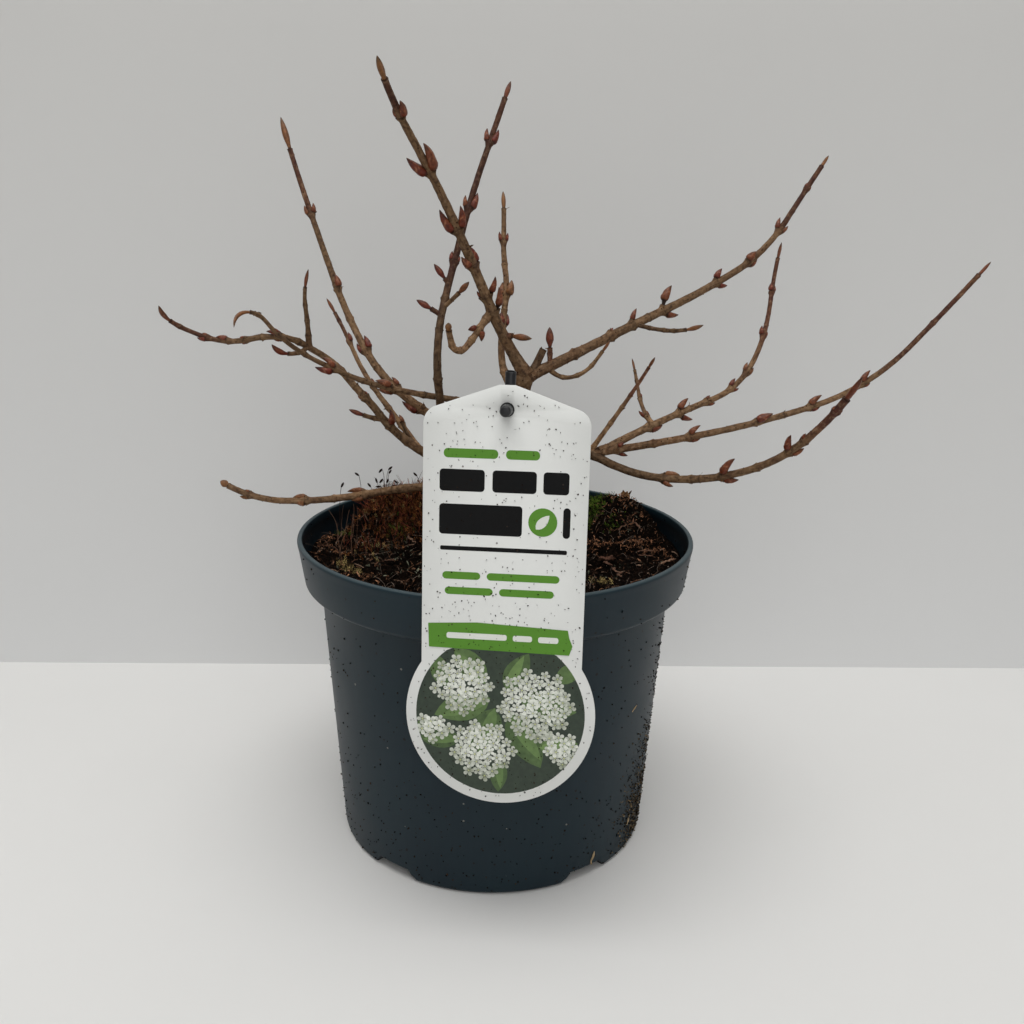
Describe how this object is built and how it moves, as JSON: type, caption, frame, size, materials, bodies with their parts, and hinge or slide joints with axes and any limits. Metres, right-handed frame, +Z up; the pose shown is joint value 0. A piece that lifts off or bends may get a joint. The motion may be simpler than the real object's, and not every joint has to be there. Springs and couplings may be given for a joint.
{
  "type": "snowball viburnum in a nursery pot",
  "caption": "Young bare flowering shrub with budded twigs, standing in a round plastic nursery pot of mossy compost, with a hang label on a stake.",
  "frame": {"origin": "centre of the flat pad under the pot", "axes": "+Z up, -Y towards the side that carries the label, +X to the right when looking at the label"},
  "size_m": [0.3761, 0.2006, 0.3574],
  "materials": {
    "pot": "satin moulded polypropylene, dark blue grey",
    "compost": "damp peat, bark chips and moss",
    "stake": "satin, almost black",
    "label": "printed white card with a satin coat",
    "old_bark": "grey brown bark with pale breathing pores",
    "twigs": "red brown young bark and winter buds"
  },
  "bodies": {
    "root": {"pot": "pot", "compost": "compost", "label_stake": "stake", "label": "label", "trunk": "old_bark", "bough_left_tall": "old_bark", "bough_right_high": "old_bark", "bough_middle": "old_bark", "bough_left_hooked": "old_bark", "bough_right_low": "old_bark", "bough_left_high": "old_bark", "bough_left_rim": "old_bark", "bough_left_front": "old_bark", "bough_upright": "old_bark", "bough_right_front": "old_bark", "bough_right_far": "old_bark", "bough_right_back": "old_bark", "bough_left_back": "old_bark", "twigs_left_tall": "twigs", "twigs_right_high": "twigs", "twigs_middle": "twigs", "twigs_left_hooked": "twigs", "twigs_left_high": "twigs", "twigs_left_rim": "twigs", "twigs_left_front": "twigs", "twigs_upright": "twigs", "twigs_right_front": "twigs", "twigs_right_far": "twigs", "twigs_right_back": "twigs", "twigs_right_small": "twigs", "twigs_right_thin": "twigs", "twigs_left_back": "twigs", "twigs_curled": "twigs", "twigs_hanging": "twigs", "twigs_shelf": "twigs"}
  },
  "joints": []
}
